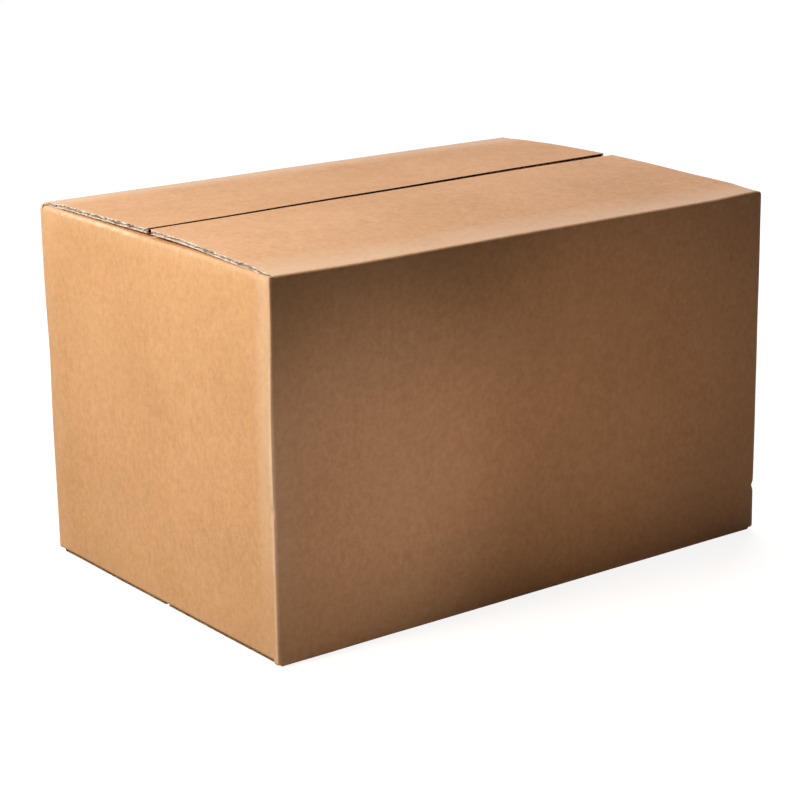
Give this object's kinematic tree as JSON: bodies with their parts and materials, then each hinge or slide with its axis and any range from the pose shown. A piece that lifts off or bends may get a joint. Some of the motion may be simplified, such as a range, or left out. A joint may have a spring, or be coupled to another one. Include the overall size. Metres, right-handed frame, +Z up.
{
  "type": "cardboard box",
  "caption": "Closed plain kraft corrugated carton, longer than it is wide or high, with two outer top flaps that fold open over a pair of inner flaps.",
  "frame": {"origin": "middle of the underside, where the carton stands on the floor", "axes": "+X along the long walls and the flap seam, +Y across the end walls towards the back, +Z up to the closed top"},
  "size_m": [0.5, 0.336, 0.308],
  "materials": {
    "kraft_board": "uncoated kraft liner, matt",
    "kraft_flap": "uncoated kraft liner, matt"
  },
  "bodies": {
    "carton": {"carton_sheet": "kraft_board"},
    "front_flap": {"outer_flap_front": "kraft_flap"},
    "back_flap": {"outer_flap_back": "kraft_flap"}
  },
  "joints": [
    {"name": "front_flap_fold", "type": "hinge", "parent": "carton", "child": "front_flap", "pos_m": [0, -0.168, 0.30505], "axis": [1, 0, 0], "range_deg": [0, 250]},
    {"name": "back_flap_fold", "type": "hinge", "parent": "carton", "child": "back_flap", "pos_m": [0, 0.168, 0.30505], "axis": [-1, 0, 0], "range_deg": [0, 250]}
  ]
}
